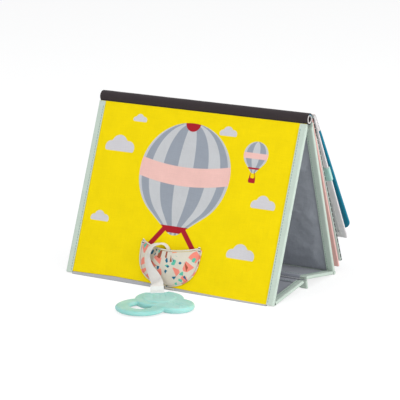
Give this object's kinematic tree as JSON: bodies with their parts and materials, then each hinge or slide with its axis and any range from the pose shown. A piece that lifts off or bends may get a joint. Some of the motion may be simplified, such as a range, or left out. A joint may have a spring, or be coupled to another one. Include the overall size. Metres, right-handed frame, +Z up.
{
  "type": "fold-out activity book",
  "caption": "Padded cloth baby book that stands as a tent, with hinged covers, turning leaves, folding base flaps, a front pocket and a soft teether on a ribbon.",
  "frame": {"origin": "on the floor, under the middle of the standing book's footprint with the teether", "axes": "+X along the spine to the right seen from the front, -Y towards the front cover and the teether, +Z up"},
  "size_m": [0.25, 0.2798, 0.1849],
  "materials": {
    "print_cloth": "matte",
    "lining_cloth": "matte",
    "base_cloth": "matte",
    "stiffener": "matte",
    "mint_tape": "satin",
    "spine_cloth": "matte",
    "pale_cloth": "matte",
    "pocket_cloth": "matte",
    "red_thread": "matte",
    "ribbon_satin": "satin",
    "silicone": "satin",
    "pink_tape": "matte",
    "dashed_tape": "matte",
    "grey_tape": "matte",
    "teal_tape": "matte"
  },
  "bodies": {
    "spine": {"spine_sleeve": "spine_cloth", "spine_lining_roll": "pale_cloth", "spine_core": "spine_cloth"},
    "front_cover": {"front_cover_cloth": "print_cloth", "front_cover_board": "stiffener", "front_cover_lining": "lining_cloth", "front_cover_binding_left": "mint_tape", "front_cover_binding_right": "mint_tape", "front_cover_crease": "base_cloth", "pocket_pouch": "pocket_cloth", "pocket_mouth_hem": "pale_cloth", "pocket_edge_piping": "mint_tape", "pocket_bartack_left": "red_thread", "pocket_bartack_right": "red_thread", "pocket_foot_tab": "pocket_cloth", "teether_ribbon": "ribbon_satin", "ribbon_end_loop": "ribbon_satin"},
    "teether": {"teether": "silicone"},
    "front_flap": {"front_flap_top_cloth": "base_cloth", "front_flap_board": "stiffener", "front_flap_under_cloth": "base_cloth", "front_flap_binding_left": "mint_tape", "front_flap_binding_right": "mint_tape", "front_flap_binding_end": "mint_tape", "front_flap_loop_strip": "pale_cloth"},
    "rear_cover": {"rear_cover_cloth": "pale_cloth", "rear_cover_board": "stiffener", "rear_cover_lining": "lining_cloth", "rear_cover_binding_left": "mint_tape", "rear_cover_binding_right": "mint_tape", "rear_cover_crease": "mint_tape"},
    "rear_flap": {"rear_flap_top_cloth": "base_cloth", "rear_flap_board": "stiffener", "rear_flap_under_cloth": "base_cloth", "rear_flap_binding_left": "mint_tape", "rear_flap_binding_right": "mint_tape", "rear_flap_crest_tape": "mint_tape"},
    "closure_lip": {"closure_lip_panel": "base_cloth", "closure_lip_binding_left": "mint_tape", "closure_lip_binding_right": "mint_tape", "closure_lip_binding_end": "mint_tape", "closure_lip_hook_strip": "pale_cloth"},
    "leaf_1": {"leaf_1_page": "pale_cloth", "leaf_1_binding": "pink_tape"},
    "leaf_2": {"leaf_2_page": "pale_cloth", "leaf_2_binding": "dashed_tape"},
    "leaf_3": {"leaf_3_page": "pale_cloth", "leaf_3_binding": "grey_tape", "leaf_3_ribbon_tab": "mint_tape"},
    "leaf_4": {"leaf_4_page": "pale_cloth", "leaf_4_binding": "teal_tape"}
  },
  "joints": [
    {"name": "front_cover_hinge", "type": "hinge", "parent": "spine", "child": "front_cover", "pos_m": [0, 0.03144, 0.17489], "axis": [1, 0, 0], "range_deg": [-136, 0]},
    {"name": "rear_cover_hinge", "type": "hinge", "parent": "spine", "child": "rear_cover", "pos_m": [0, 0.04291, 0.17489], "axis": [1, 0, 0], "range_deg": [-33, 0]},
    {"name": "front_flap_hinge", "type": "hinge", "parent": "front_cover", "child": "front_flap", "pos_m": [0, -0.03326, 0.0041], "axis": [1, 0, 0], "range_deg": [0, 58.1]},
    {"name": "rear_flap_hinge", "type": "hinge", "parent": "rear_cover", "child": "rear_flap", "pos_m": [0, 0.09898, 0.00185], "axis": [1, 0, 0], "range_deg": [0, 115.6]},
    {"name": "closure_lip_hinge", "type": "hinge", "parent": "rear_flap", "child": "closure_lip", "pos_m": [0, 0.03668, 0.01], "axis": [1, 0, 0], "range_deg": [0, 60]},
    {"name": "leaf_1_hinge", "type": "hinge", "parent": "spine", "child": "leaf_1", "pos_m": [0, 0.03718, 0.1789], "axis": [1, 0, 0], "range_deg": [0, 55]},
    {"name": "leaf_2_hinge", "type": "hinge", "parent": "leaf_1", "child": "leaf_2", "pos_m": [0, 0.03718, 0.1789], "axis": [1, 0, 0], "range_deg": [0, 55]},
    {"name": "leaf_3_hinge", "type": "hinge", "parent": "leaf_2", "child": "leaf_3", "pos_m": [0, 0.03718, 0.1789], "axis": [1, 0, 0], "range_deg": [-5, 55]},
    {"name": "leaf_4_hinge", "type": "hinge", "parent": "leaf_3", "child": "leaf_4", "pos_m": [0, 0.03718, 0.1789], "axis": [-1, 0, 0], "range_deg": [-110, 0]},
    {"name": "teether_tilt", "type": "hinge", "parent": "front_cover", "child": "teether", "pos_m": [0.007, -0.06782, 0.0035], "axis": [0.832, 0.5548, 0], "range_deg": [-80, 0]}
  ],
  "couplings": [
    {"joint": "front_flap_hinge", "follows": "rear_cover_hinge", "ratio": -1.76},
    {"joint": "rear_flap_hinge", "follows": "rear_cover_hinge", "ratio": -3.5}
  ]
}
